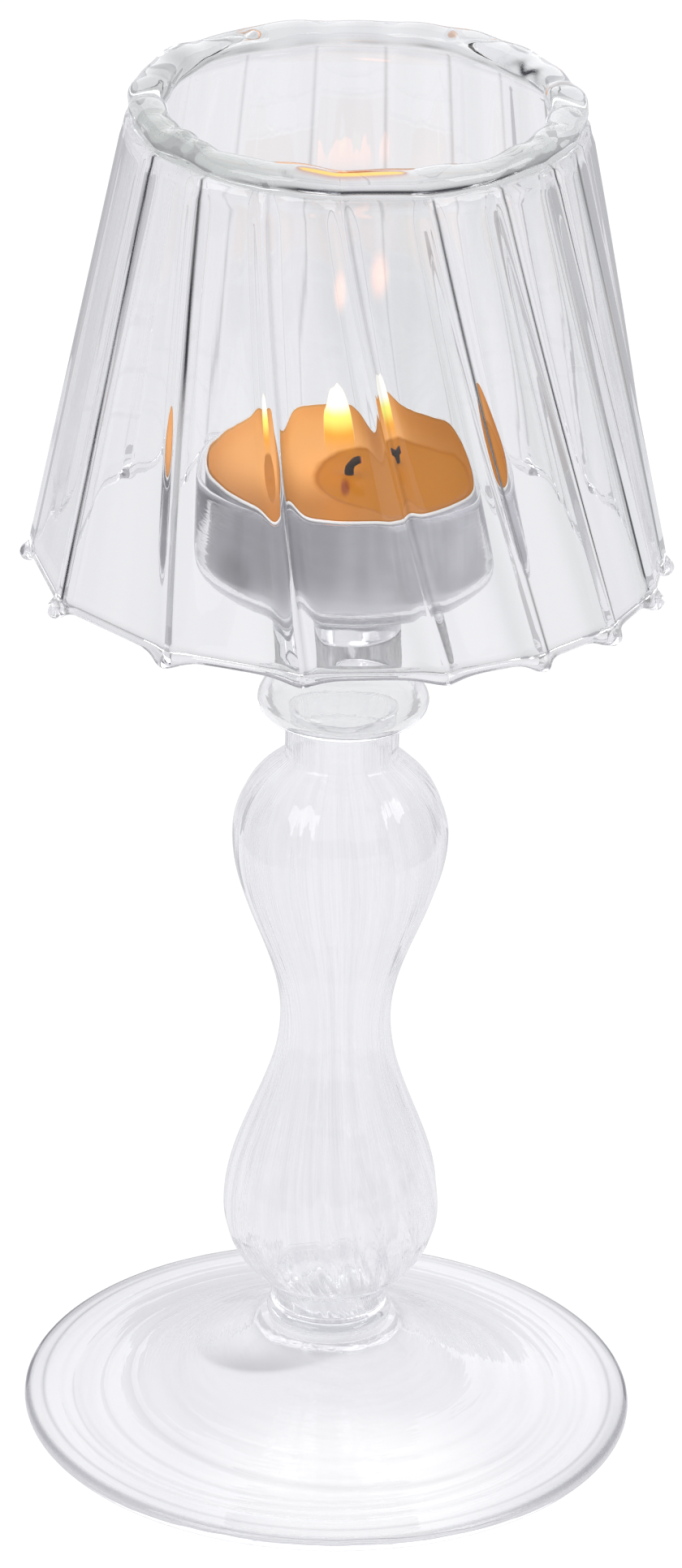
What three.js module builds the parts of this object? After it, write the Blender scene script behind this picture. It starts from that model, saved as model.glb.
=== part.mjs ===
// A lamp-shaped hurricane candle holder of clear glass, with a tea light in its cup.
// Millimetres, +Z up. The foot stands on z = 0, its axis is the Z axis and the front faces -Y.
// Bearings round the axis are in degrees from the front, growing towards +X.
import * as THREE from "three";

// Clearance between pieces that are loose or that follow one another's curves.
const CLEARANCE = 0.3;

// Foot: a trumpet-shaped disc, hollow below, that stands on a flat ring.
const FOOT_RADIUS = 42;
const FOOT_EDGE = 2.2;
const FOOT_HEIGHT = 14;
const FOOT_CENTRE_THICKNESS = 2.6;
const FOOT_REST_WIDTH = 4;
const FOOT_SEAT_RADIUS = 9.2;

// Wafer of glass that joins the stem to the foot.
const FOOT_MERESE_RADIUS = 8.7;
const FOOT_MERESE_HEIGHT = 2.2;

// Stem: a blown baluster with two bulbs, open at both ends. Heights are above its lower end.
const STEM_HEIGHT = 87.8;
const STEM_WALL = 1;
const STEM_BASE_RADIUS = 7.9;
const LOWER_BULB_RADIUS = 14.65;
const LOWER_BULB_HEIGHT = 14.8;
const LOWER_BULB_DROP = 13.4;
const WAIST_RADIUS = 7.5;
const WAIST_HEIGHT = 43.8;
const UPPER_BULB_RADIUS = 14.4;
const UPPER_BULB_HEIGHT = 70.8;
const UPPER_BULB_RISE = 13.6;
const NECK_RADIUS = 7.6;

// Knop: a small bell-shaped swelling with a thicker wall, between the stem and the cup.
const KNOP_RADIUS = 11.45;
const KNOP_HEIGHT = 9;
const KNOP_BELLY_HEIGHT = 2.8;
const KNOP_TOP_RADIUS = 7.6;
const KNOP_WALL = 1.6;
const KNOP_FLOOR = 1.4;

// Frosted wafer that joins the cup to the knop.
const CUP_MERESE_RADIUS = 7.65;
const CUP_MERESE_HEIGHT = 4.2;

// Cup: a round-bottomed bowl on a short solid neck.
const CUP_NECK_RADIUS = 7.7;
const CUP_NECK_HEIGHT = 6.3;
const CUP_FLOOR = 2;
const CUP_DEPTH = 14.1;
const CUP_WALL = 1.3;
const CUP_CORNER = 6.5;
const CUP_SLACK = 0.8;

// Shade: a cone with flat panels between ribs, a rolled top rim and a thin lower rim with a bead at each rib.
const SHADE_BOTTOM_RADIUS = 41.9;
const SHADE_TOP_RADIUS = 28.9;
const SHADE_BOTTOM_ABOVE_CUP = 3.15;
const SHADE_HEIGHT = 64;
const SHADE_WALL = 1.2;
const SHADE_ROLL_HALF_WIDTH = 2.5;
const SHADE_ROLL_HALF_HEIGHT = 1.25;
const SHADE_RIM = 0.75;
const SHADE_BEAD = 0.85;
const SHADE_RIB = 0.45;
const SHADE_RIB_HALF_WIDTH = 1.6;
// How flat the panels are at the top, where 1 is a straight chord and 0 a true circle.
const SHADE_TOP_FLATNESS = 0.35;
// Bearing of each rib at the lower rim, and how far it turns back on its way to the top. The ribs are set by hand and
// unevenly, and those at the back run nearly straight.
const SHADE_RIBS = [-89, -63, -34.5, -7, 18.5, 37.5, 55.5, 74, 90, 105, 119, 132, 145, 158, 173, 189.5, 207.5, 226, 248];
const SHADE_LEANS = [0, -1.5, 7.5, 16.5, 23.5, 21, 20, 19.5, 18, 16, 13, 10, 6, 3.5, 1.5, 0, -1, -1, -0.5];

// Arms that carry the shade, from the cup's neck to the three rear beads.
const ARM_RADIUS = 1;
const ARM_HEIGHT_ON_NECK = 3;
const ARM_HEIGHT_ON_SHADE = 2.4;
const ARM_RIBS = [14, 15, 16];

// Tea light: a pressed can filled with wax, and a wick held by a clip on the can's floor.
const CAN_RADIUS = 18.6;
const CAN_HEIGHT = 14.8;
const CAN_WALL = 0.4;
const CAN_CORNER = 3;
const CAN_BEAD = 0.5;
const WAX_BELOW_RIM = 2;
const CLIP_RADIUS = 6;
const CLIP_PLATE = 0.5;
const CLIP_NECK_HEIGHT = 3;
const CLIP_NECK_WALL = 0.5;
const WICK_RADIUS = 0.7;
const WICK_OUT = 2.6;
const WICK_LEAN = 1.6;

// Heights of the joints between the stacked pieces.
const FOOT_MERESE_TOP = FOOT_HEIGHT + FOOT_MERESE_HEIGHT;
const STEM_TOP = FOOT_MERESE_TOP + STEM_HEIGHT;
const KNOP_TOP = STEM_TOP + KNOP_HEIGHT;
const CUP_MERESE_TOP = KNOP_TOP + CUP_MERESE_HEIGHT;
const CUP_UNDERSIDE = CUP_MERESE_TOP + CUP_NECK_HEIGHT;
const CUP_SEAT = CUP_UNDERSIDE + CUP_FLOOR;
const CUP_LIP = CUP_SEAT + CUP_DEPTH;
const SHADE_BOTTOM = CUP_UNDERSIDE + SHADE_BOTTOM_ABOVE_CUP;
const SHADE_TOP = SHADE_BOTTOM + SHADE_HEIGHT;
const CAN_FLOOR = CUP_SEAT + CAN_WALL;
const CAN_RIM = CUP_SEAT + CAN_HEIGHT;
const WAX_TOP = CAN_RIM - WAX_BELOW_RIM;

const GLASS = new THREE.MeshStandardMaterial({ color: 0xe6e9ee, roughness: 0.05, metalness: 0 });
const FROSTED = new THREE.MeshStandardMaterial({ color: 0xd8dade, roughness: 0.5, metalness: 0 });
const ALUMINIUM = new THREE.MeshStandardMaterial({ color: 0xb4b4b8, roughness: 0.35, metalness: 1 });
const WAX = new THREE.MeshStandardMaterial({ color: 0xe08a30, roughness: 0.4, metalness: 0 });
const STEEL = new THREE.MeshStandardMaterial({ color: 0x9a9a9e, roughness: 0.4, metalness: 1 });
const COTTON = new THREE.MeshStandardMaterial({ color: 0x1c1512, roughness: 0.9, metalness: 0 });

const holder = new THREE.Group();

function add(name, geometry, material) {
  const mesh = new THREE.Mesh(geometry, material);
  mesh.name = name;
  holder.add(mesh);
  return mesh;
}

// A point of a profile: distance from the axis and height.
function at(radius, height) {
  return new THREE.Vector2(radius, height);
}

// Points of an arc of a profile, angles in degrees from outwards towards up.
function arc(centreRadius, centreHeight, radius, from, to, steps) {
  return Array.from({ length: steps + 1 }, (_, i) => {
    const angle = THREE.MathUtils.degToRad(from + ((to - from) * i) / steps);
    return at(centreRadius + radius * Math.cos(angle), centreHeight + radius * Math.sin(angle));
  });
}

// Points of a curve given as a radius at each height.
function swept(radiusAt, from, to, steps) {
  return Array.from({ length: steps + 1 }, (_, i) => {
    const height = from + ((to - from) * i) / steps;
    return at(radiusAt(height), height);
  });
}

// A solid of revolution about Z from a profile that runs anticlockwise, outside upwards.
function turned(profile, segments) {
  return new THREE.LatheGeometry([...profile, profile[0]], segments).rotateX(Math.PI / 2);
}

// A plain wafer with a rounded edge.
function wafer(radius, bottom, height, segments) {
  const edge = height / 2;
  const rim = arc(radius - edge, bottom + edge, edge, -90, 90, 6);
  return turned([at(0, bottom), ...rim, at(0, bottom + height)], segments);
}

// Half a cosine wave from one value to the other as the share goes from 0 to 1.
function ease(from, to, share) {
  return from + ((to - from) * (1 - Math.cos(Math.PI * share))) / 2;
}

// Foot
{
  const edge = FOOT_EDGE / 2;
  const shoulder = FOOT_RADIUS - edge;
  const restInner = shoulder - FOOT_REST_WIDTH;
  const hollow = FOOT_HEIGHT - FOOT_CENTRE_THICKNESS;
  const steps = 8;
  const slope = (outer, low, high, share) =>
    at(FOOT_SEAT_RADIUS + (outer - FOOT_SEAT_RADIUS) * (1 - share), low + (high - low) * share * share);
  const upper = Array.from({ length: steps }, (_, i) => slope(shoulder, FOOT_EDGE, FOOT_HEIGHT, (i + 1) / steps));
  const lower = Array.from({ length: steps + 1 }, (_, i) => slope(restInner, 0, hollow, 1 - i / steps));
  const rim = arc(shoulder, edge, edge, -90, 90, 4);
  add("foot", turned([at(0, hollow), ...lower, ...rim, ...upper, at(0, FOOT_HEIGHT)], 56), GLASS);
}

// Wafer on the foot
add("foot_merese", wafer(FOOT_MERESE_RADIUS, FOOT_HEIGHT, FOOT_MERESE_HEIGHT, 32), GLASS);

// Stem
function stemRadius(height) {
  const bulb = (radius, share) => radius * Math.sqrt(Math.max(0, 1 - share * share));
  if (height < LOWER_BULB_HEIGHT) {
    const share = (LOWER_BULB_HEIGHT - height) / LOWER_BULB_DROP;
    return Math.max(STEM_BASE_RADIUS, bulb(LOWER_BULB_RADIUS, share));
  }
  if (height < WAIST_HEIGHT) {
    const share = (height - LOWER_BULB_HEIGHT) / (WAIST_HEIGHT - LOWER_BULB_HEIGHT);
    return ease(LOWER_BULB_RADIUS, WAIST_RADIUS, share);
  }
  if (height < UPPER_BULB_HEIGHT) {
    const share = (height - WAIST_HEIGHT) / (UPPER_BULB_HEIGHT - WAIST_HEIGHT);
    return ease(WAIST_RADIUS, UPPER_BULB_RADIUS, share);
  }
  return Math.max(NECK_RADIUS, bulb(UPPER_BULB_RADIUS, (height - UPPER_BULB_HEIGHT) / UPPER_BULB_RISE));
}
{
  const outer = (height) => stemRadius(height - FOOT_MERESE_TOP);
  const inner = (height) => outer(height) - STEM_WALL;
  const wall = swept(outer, FOOT_MERESE_TOP, STEM_TOP, 24);
  const bore = swept(inner, STEM_TOP, FOOT_MERESE_TOP, 14);
  add("stem", turned([...wall, ...bore], 32), GLASS);
}

// Knop
{
  const outer = (height) => {
    const above = height - STEM_TOP - KNOP_BELLY_HEIGHT;
    if (above < 0) {
      const share = -above / KNOP_BELLY_HEIGHT;
      return NECK_RADIUS + (KNOP_RADIUS - NECK_RADIUS) * Math.sqrt(1 - share * share);
    }
    return ease(KNOP_RADIUS, KNOP_TOP_RADIUS, above / (KNOP_HEIGHT - KNOP_BELLY_HEIGHT));
  };
  const inner = (height) => outer(height) - KNOP_WALL;
  const belly = STEM_TOP + KNOP_BELLY_HEIGHT;
  const wall = [...swept(outer, STEM_TOP, belly, 4), ...swept(outer, belly, KNOP_TOP, 6).slice(1)];
  const floor = STEM_TOP + KNOP_FLOOR;
  const bore = [...swept(inner, KNOP_TOP, belly, 4), ...swept(inner, belly, floor, 3).slice(1)];
  add("stem_knop", turned([at(0, STEM_TOP), ...wall, ...bore, at(0, floor)], 32), GLASS);
}

// Wafer under the cup
{
  const profile = [
    at(0, KNOP_TOP),
    at(CUP_MERESE_RADIUS, KNOP_TOP),
    at(CUP_MERESE_RADIUS, CUP_MERESE_TOP),
    at(0, CUP_MERESE_TOP),
  ];
  add("cup_merese", turned(profile, 32), FROSTED);
}

// Cup
const cupBore = CAN_RADIUS + CUP_SLACK;
{
  const cupRadius = cupBore + CUP_WALL;
  const lip = CUP_WALL / 2;
  const boreCorner = CAN_CORNER + CUP_SLACK;
  const profile = [
    at(0, CUP_MERESE_TOP),
    at(CUP_NECK_RADIUS, CUP_MERESE_TOP),
    at(CUP_NECK_RADIUS, CUP_UNDERSIDE),
    ...arc(cupRadius - CUP_CORNER, CUP_UNDERSIDE + CUP_CORNER, CUP_CORNER, -90, 0, 5),
    ...arc(cupBore + lip, CUP_LIP - lip, lip, 0, 180, 4),
    ...arc(cupBore - boreCorner, CUP_SEAT + boreCorner, boreCorner, 0, -90, 4),
    at(0, CUP_SEAT),
  ];
  add("cup", turned(profile, 40), GLASS);
}

// Shade
const shadeRadius = (height) =>
  THREE.MathUtils.mapLinear(height, SHADE_BOTTOM, SHADE_TOP, SHADE_BOTTOM_RADIUS, SHADE_TOP_RADIUS);
{
  const ribs = SHADE_RIBS.length;
  const perRib = 4;
  const rimHeight = SHADE_BOTTOM + SHADE_RIM;
  const rimRadius = shadeRadius(rimHeight) - SHADE_WALL / 2;
  const rollHeight = SHADE_TOP - SHADE_ROLL_HALF_HEIGHT;
  const rollRadius = shadeRadius(rollHeight) - SHADE_ROLL_HALF_WIDTH;
  const innerRadius = (height) => shadeRadius(height) - SHADE_WALL;
  const rim = arc(rimRadius, rimHeight, SHADE_RIM, -225, 45, 6);
  const wall = swept(shadeRadius, SHADE_BOTTOM + 3 * SHADE_RIM, rollHeight - SHADE_ROLL_HALF_HEIGHT, 3);
  const roll = arc(0, 0, 1, 0, 260, 9).map((point) =>
    at(rollRadius + SHADE_ROLL_HALF_WIDTH * point.x, rollHeight + SHADE_ROLL_HALF_HEIGHT * point.y),
  );
  const bore = swept(innerRadius, rollHeight - 2 * SHADE_ROLL_HALF_HEIGHT, SHADE_BOTTOM + 3 * SHADE_RIM, 3);
  const profile = [...rim, ...wall, ...roll, ...bore];
  const geometry = turned(profile, ribs * perRib);
  const position = geometry.getAttribute("position");
  const uv = geometry.getAttribute("uv");
  const bearingAfter = (rib) => (rib + 1 < ribs ? SHADE_RIBS[rib + 1] : SHADE_RIBS[0] + 360);
  const halfWidth = THREE.MathUtils.radToDeg(SHADE_RIB_HALF_WIDTH / SHADE_BOTTOM_RADIUS);
  for (let i = 0; i < position.count; i += 1) {
    const column = Math.round(uv.getX(i) * ribs * perRib) % (ribs * perRib);
    const point = Math.round(uv.getY(i) * profile.length) % profile.length;
    const rib = Math.floor(column / perRib);
    const gap = bearingAfter(rib) - SHADE_RIBS[rib];
    const offset = [0, halfWidth, gap / 2, gap - halfWidth][column % perRib];
    const crest = [1, 0.3, 0, 0.3][column % perRib];
    const fromMiddle = THREE.MathUtils.degToRad(offset - gap / 2);
    const chord = Math.cos(THREE.MathUtils.degToRad(gap / 2)) / Math.cos(fromMiddle);
    let radius = profile[point].x;
    let height = profile[point].y;
    if (point < rim.length) {
      const swell = 1 + (crest * SHADE_BEAD) / SHADE_RIM;
      radius = rimRadius + (radius - rimRadius) * swell;
      height = rimHeight + (height - rimHeight) * swell;
    }
    const share = (height - SHADE_BOTTOM) / SHADE_HEIGHT;
    const lean = THREE.MathUtils.lerp(SHADE_LEANS[rib], SHADE_LEANS[(rib + 1) % ribs], offset / gap);
    const bearing = THREE.MathUtils.degToRad(SHADE_RIBS[rib] + offset - lean * share);
    const flatness = THREE.MathUtils.lerp(1, SHADE_TOP_FLATNESS, share);
    const distance = radius * (1 - flatness * (1 - chord)) + crest * SHADE_RIB;
    position.setXYZ(i, distance * Math.sin(bearing), -distance * Math.cos(bearing), height);
  }
  add("shade", geometry, GLASS);
}

// Arms
ARM_RIBS.forEach((rib, i) => {
  const low = CUP_MERESE_TOP + ARM_HEIGHT_ON_NECK;
  const high = SHADE_BOTTOM + ARM_HEIGHT_ON_SHADE;
  const bearing = THREE.MathUtils.degToRad(
    SHADE_RIBS[rib] - (SHADE_LEANS[rib] * (high - SHADE_BOTTOM)) / SHADE_HEIGHT,
  );
  const outwards = new THREE.Vector3(Math.sin(bearing), -Math.cos(bearing), 0);
  const reach = CLEARANCE + ARM_RADIUS / 3;
  const start = outwards.clone().multiplyScalar(CUP_NECK_RADIUS + reach).setZ(low);
  const end = outwards.clone().multiplyScalar(shadeRadius(high) - SHADE_WALL - reach).setZ(high);
  const along = end.clone().sub(start);
  const geometry = new THREE.CylinderGeometry(ARM_RADIUS, ARM_RADIUS, along.length(), 14);
  geometry.applyQuaternion(
    new THREE.Quaternion().setFromUnitVectors(new THREE.Vector3(0, 1, 0), along.clone().normalize()),
  );
  geometry.translate(...start.add(end).multiplyScalar(0.5).toArray());
  add(`shade_arm_${i + 1}`, geometry, GLASS);
});

// Tea light can
const canBore = CAN_RADIUS - CAN_WALL;
const canBoreCorner = CAN_CORNER - CAN_WALL;
{
  const beadHeight = CAN_RIM - CAN_BEAD;
  const profile = [
    at(0, CUP_SEAT),
    ...arc(CAN_RADIUS - CAN_CORNER, CUP_SEAT + CAN_CORNER, CAN_CORNER, -90, 0, 4),
    ...arc(CAN_RADIUS, beadHeight, CAN_BEAD, -60, 120, 5),
    ...arc(canBore - canBoreCorner, CAN_FLOOR + canBoreCorner, canBoreCorner, 0, -90, 4),
    at(0, CAN_FLOOR),
  ];
  add("tealight_can", turned(profile, 40), ALUMINIUM);
}

// Wax, with a pocket round the clip and a hole for the wick
const wickHole = WICK_RADIUS + CLEARANCE;
const clipNeckRadius = wickHole + CLIP_NECK_WALL;
{
  const waxRadius = canBore - CLEARANCE;
  const pocketRadius = CLIP_RADIUS + CLEARANCE;
  const pocketTop = CAN_FLOOR + CLIP_PLATE + CLEARANCE;
  const neckTop = CAN_FLOOR + CLIP_PLATE + CLIP_NECK_HEIGHT + CLEARANCE;
  const profile = [
    at(pocketRadius, CAN_FLOOR),
    ...arc(waxRadius - canBoreCorner, CAN_FLOOR + canBoreCorner, canBoreCorner, -90, 0, 3),
    at(waxRadius, WAX_TOP),
    at(wickHole, WAX_TOP),
    at(wickHole, neckTop),
    at(clipNeckRadius + CLEARANCE, neckTop),
    at(clipNeckRadius + CLEARANCE, pocketTop),
    at(pocketRadius, pocketTop),
  ];
  add("tealight_wax", turned(profile, 32), WAX);
}

// Wick clip
{
  const plateTop = CAN_FLOOR + CLIP_PLATE;
  const neckTop = plateTop + CLIP_NECK_HEIGHT;
  const profile = [
    at(wickHole, CAN_FLOOR),
    at(CLIP_RADIUS, CAN_FLOOR),
    at(CLIP_RADIUS, plateTop),
    at(clipNeckRadius, plateTop),
    at(clipNeckRadius, neckTop),
    at(wickHole, neckTop),
  ];
  add("wick_clip", turned(profile, 24), STEEL);
}

// Wick, straight in the wax and bent to the right where it has burned
{
  const tip = WAX_TOP + WICK_OUT;
  const path = new THREE.CatmullRomCurve3([
    new THREE.Vector3(0, 0, CAN_FLOOR + CLEARANCE),
    new THREE.Vector3(0, 0, WAX_TOP - WICK_OUT),
    new THREE.Vector3(0, 0, WAX_TOP),
    new THREE.Vector3(WICK_LEAN / 4, 0, tip - WICK_OUT / 3),
    new THREE.Vector3(WICK_LEAN, 0, tip),
  ]);
  const section = new THREE.Shape().absarc(0, 0, WICK_RADIUS, 0, 2 * Math.PI);
  const geometry = new THREE.ExtrudeGeometry(section, { extrudePath: path, steps: 14, curveSegments: 5 });
  add("wick", geometry, COTTON);
}

export default holder;
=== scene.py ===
import math

import bpy
import numpy as np
from mathutils import Matrix, Vector


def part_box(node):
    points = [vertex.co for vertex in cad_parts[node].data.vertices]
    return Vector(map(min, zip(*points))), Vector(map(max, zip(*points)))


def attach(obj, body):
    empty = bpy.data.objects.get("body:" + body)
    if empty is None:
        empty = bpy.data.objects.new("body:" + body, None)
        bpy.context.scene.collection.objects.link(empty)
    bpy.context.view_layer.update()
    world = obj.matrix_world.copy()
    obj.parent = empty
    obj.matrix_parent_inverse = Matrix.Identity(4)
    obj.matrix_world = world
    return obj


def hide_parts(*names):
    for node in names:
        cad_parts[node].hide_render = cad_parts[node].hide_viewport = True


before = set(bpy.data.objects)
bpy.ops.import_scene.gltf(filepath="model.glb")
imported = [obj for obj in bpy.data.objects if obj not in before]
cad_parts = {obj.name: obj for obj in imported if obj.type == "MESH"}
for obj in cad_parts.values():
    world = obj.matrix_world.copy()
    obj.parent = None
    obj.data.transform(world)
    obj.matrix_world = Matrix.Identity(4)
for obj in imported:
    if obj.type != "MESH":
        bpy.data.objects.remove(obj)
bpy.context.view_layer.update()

# Foot. A disc of clear soda glass, drawn out by hand into a low trumpet while hot and hollow below.
# Its edge is rounded in the fire, and the turning tool has left faint, uneven rings on its upper face.
# The stem's wafer is fused to its seat in the middle.
MM = 0.001
GLASS_BEND = 1.47


def levels(node):
    """Lowest and highest point of a solid of the frame, in millimetres."""
    low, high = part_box(node)
    return low.z / MM, high.z / MM


def full_turn(columns):
    """Bearings of the columns once round the axis, in radians from the front towards +X."""
    return np.arange(columns) * (2 * math.pi / columns)


def carried_round(radius, height, bearing):
    """A profile carried round the axis: x = radius sin(bearing), y = -radius cos(bearing), z = height."""
    radius, height, bearing = np.broadcast_arrays(radius, height, bearing)
    return np.stack([radius * np.sin(bearing), -radius * np.cos(bearing), height], axis=-1)


def bell(value, centre, width):
    """A soft bell: e to the power of minus the square of the distance from the centre, counted in widths."""
    return np.exp(-(((value - centre) / width) ** 2))


def waves(bearing, *terms):
    """A sum of sine waves round the axis, each with its size, its count and its shift."""
    return sum(size * np.sin(count * bearing + shift) for size, count, shift in terms)


def bow(centre_radius, centre_height, radius, start, end, steps):
    """An arc of a profile, in degrees from outwards towards up: columns of radius and height."""
    angle = np.radians(np.linspace(start, end, steps))
    return np.stack([centre_radius + radius * np.cos(angle), centre_height + radius * np.sin(angle)], axis=1)


def skin(name, rows, ring=False, start=None, end=None, **attributes):
    """A closed mesh from a grid of points in millimetres, [row, column, xyz], whose columns close on themselves.
    Rows close on themselves where ring is true. Otherwise one point at the start and one at the end shut the
    grid. Each attribute is a grid of numbers or vectors, one for each point."""
    count, columns = rows.shape[:2]
    index = np.arange(count * columns).reshape(count, columns)
    beside = np.roll(index, -1, axis=1)
    above, beside_above = np.roll(index, -1, axis=0), np.roll(beside, -1, axis=0)
    quads = np.stack([index, beside, beside_above, above], axis=-1)
    quads = quads if ring else quads[:-1]
    points, faces = rows.reshape(-1, 3), quads.reshape(-1, 4).tolist()
    if not ring:
        first, last = len(points), len(points) + 1
        points = np.concatenate([points, [start, end]])
        faces += np.stack([np.full(columns, first), beside[0], index[0]], axis=-1).tolist()
        faces += np.stack([index[-1], beside[-1], np.full(columns, last)], axis=-1).tolist()
    mesh = bpy.data.meshes.new(name)
    mesh.from_pydata(points * MM, [], faces)
    mesh.shade_smooth()
    for key, values in attributes.items():
        flat = np.asarray(values, np.float32).reshape(count * columns, -1)
        if not ring:
            flat = np.concatenate([flat, flat[:1], flat[-1:]])
        plain = flat.shape[1] == 1
        made = mesh.attributes.new(key, "FLOAT" if plain else "FLOAT_VECTOR", "POINT")
        made.data.foreach_set("value" if plain else "vector", flat.ravel())
    piece = bpy.data.objects.new(name, mesh)
    bpy.context.scene.collection.objects.link(piece)
    return piece


def add_node(tree, kind, values=None, **settings):
    """Adds a shader node with its own settings. Values go into its inputs, and sockets are linked to them."""
    made = tree.nodes.new(kind)
    for key, value in settings.items():
        setattr(made, key, value)
    for key, value in (values or {}).items():
        if isinstance(value, bpy.types.NodeSocket):
            tree.links.new(value, made.inputs[key])
        else:
            made.inputs[key].default_value = value
    return made


def number(tree, operation, *values):
    """The result of a Math node on numbers or sockets."""
    return add_node(tree, "ShaderNodeMath", dict(enumerate(values)), operation=operation).outputs[0]


def mixed(tree, share, first, second):
    """A colour between two colours by a share."""
    return add_node(tree, "ShaderNodeMix", {0: share, 6: first, 7: second}, data_type="RGBA").outputs[2]


def spread(tree, value, low, high):
    """A value stretched so that low becomes 0 and high becomes 1, eased at both ends."""
    limits = {"Value": value, 1: low, 2: high}
    return add_node(tree, "ShaderNodeMapRange", limits, interpolation_type="SMOOTHSTEP").outputs[0]


def attribute(tree, name, output="Fac"):
    """A number or vector that is stored on the piece's points."""
    return add_node(tree, "ShaderNodeAttribute", attribute_name=name).outputs[output]


def noise(tree, vector, scale, detail=2.0, roughness=0.5):
    """Soft procedural noise from 0 to 1."""
    values = {"Vector": vector, "Scale": scale, "Detail": detail, "Roughness": roughness}
    return add_node(tree, "ShaderNodeTexNoise", values).outputs["Fac"]


def bumped(tree, height, strength, distance):
    """The normal of a surface with a relief."""
    values = {"Strength": strength, "Distance": distance, "Height": height}
    return add_node(tree, "ShaderNodeBump", values).outputs["Normal"]


def new_material(name):
    """An empty node material, its node tree and its output node."""
    made = bpy.data.materials.new(name)
    made.use_nodes = True
    made.node_tree.nodes.clear()
    return made, made.node_tree, made.node_tree.nodes.new("ShaderNodeOutputMaterial")


def drawn_streaks():
    """Node group of the streaks that hot glass keeps from being drawn or turned. The attribute flow runs fast
    across them and slowly along them. Color is the tint darkened in the streaks, and Height is their relief."""
    group = bpy.data.node_groups.new("drawn_streaks", "ShaderNodeTree")
    for label, kind, way in (
        ("Tint", "NodeSocketColor", "INPUT"),
        ("Dark", "NodeSocketColor", "INPUT"),
        ("Fine", "NodeSocketFloat", "INPUT"),
        ("Color", "NodeSocketColor", "OUTPUT"),
        ("Height", "NodeSocketFloat", "OUTPUT"),
    ):
        group.interface.new_socket(label, in_out=way, socket_type=kind)
    taken = group.nodes.new("NodeGroupInput").outputs
    flow = attribute(group, "flow", "Vector")
    broad = noise(group, flow, 1.0, 1.0)
    fine = noise(group, flow, taken["Fine"])
    relief = number(group, "MULTIPLY_ADD", fine, 0.35, number(group, "MULTIPLY", broad, 0.65))
    share = spread(group, relief, 0.42, 0.66)
    colour = mixed(group, share, taken["Tint"], taken["Dark"])
    add_node(group, "NodeGroupOutput", {"Color": colour, "Height": relief})
    return group


streaks = drawn_streaks()


def clear_glass(
    name, tint, dark, edge, fine=3.0, relief=0.05, edge_from=0.5, line=None, thick=None, caught=None, dim=0.0
):
    """Clear glass: a pale tint with drawn streaks, darker as painted shade where it is seen edge on, and bent by a
    faint relief. Where the attribute line (painted dark lines, a painted shade), thick (the green of thick glass,
    partly painted shade) or the one for the flame's painted light is 1, it takes that colour. It bends light less,
    and so shines less, in strong lines, in the painted flame light and, by dim, along its outline. Lamps,
    scattered light and light that was thrown to and fro pass straight through it, and so does all light where the
    attribute fused is 1. Light that has passed too many walls turns pale instead of black."""
    made, tree, output = new_material(name)
    grain = add_node(tree, "ShaderNodeGroup", node_tree=streaks)
    for label, value in (("Tint", tint), ("Dark", dark), ("Fine", fine)):
        grain.inputs[label].default_value = value
    colour = grain.outputs["Color"]
    if thick:
        colour = mixed(tree, attribute(tree, "thick"), colour, thick)
    facing = add_node(tree, "ShaderNodeLayerWeight", {"Blend": 0.5}).outputs["Facing"]
    colour = mixed(tree, spread(tree, facing, edge_from, 1.0), colour, edge)
    bend = GLASS_BEND
    if line:
        drawn = attribute(tree, "line")
        colour = mixed(tree, drawn, colour, line)
        bend = number(tree, "MULTIPLY_ADD", spread(tree, drawn, 0.6, 0.95), -0.4, bend)
    if caught:
        flame_light_share = attribute(tree, "caught")
        colour = mixed(tree, flame_light_share, colour, mixed(tree, spread(tree, flame_light_share, 0.55, 0.95), *caught))
        bend = number(tree, "MULTIPLY_ADD", spread(tree, flame_light_share, 0.2, 0.6), -0.4, bend)
        bend = number(tree, "MAXIMUM", bend, 1.05)
    if dim:
        bend = number(tree, "MULTIPLY_ADD", spread(tree, facing, 0.75, 0.98), -dim, bend)
    body = add_node(
        tree,
        "ShaderNodeBsdfPrincipled",
        {
            "Base Color": colour,
            "Roughness": 0.015,
            "IOR": bend,
            "Transmission Weight": 1.0,
            "Normal": bumped(tree, grain.outputs["Height"], relief, MM),
        },
    )
    light = add_node(tree, "ShaderNodeLightPath").outputs
    passed = number(tree, "MAXIMUM", light["Is Shadow Ray"], light["Is Diffuse Ray"])
    for value, limit in (
        (attribute(tree, "fused"), 0.98),
        (light["Glossy Depth"], 1.5),
        (light["Transmission Depth"], 8.5),
    ):
        passed = number(tree, "MAXIMUM", passed, number(tree, "GREATER_THAN", value, limit))
    clear = add_node(tree, "ShaderNodeBsdfTransparent", {"Color": (0.96, 0.96, 0.965, 1)})
    lost = number(tree, "GREATER_THAN", light["Transparent Depth"], 6.5)
    lost = number(tree, "MULTIPLY", lost, number(tree, "SUBTRACT", 1.0, light["Is Shadow Ray"]))
    pale = add_node(tree, "ShaderNodeEmission", {"Color": (0.8, 0.8, 0.83, 1)})
    both = add_node(tree, "ShaderNodeMixShader", {0: passed, 1: body.outputs[0], 2: clear.outputs[0]})
    both = add_node(tree, "ShaderNodeMixShader", {0: lost, 1: both.outputs[0], 2: pale.outputs[0]})
    tree.links.new(both.outputs[0], output.inputs["Surface"])
    made.cycles.emission_sampling = "NONE"
    return made


foot_radius, foot_edge, foot_height = 42.0, 1.1, levels("foot")[1]
foot_seat, foot_thickness, foot_rest = 9.2, 2.6, 4.0
edge_line, inner_line, edge_band, collar_radius = 41.6, 39.4, 40.6, 10.0
crescent_east, crescent_north, crescent_radius = -4.7, 1.7, 13.4
wafer_low, wafer_high = levels("foot_merese")
wafer_radius, wafer_half = 8.7, (wafer_high - wafer_low) / 2
wafer_seat = wafer_radius - wafer_half


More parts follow.
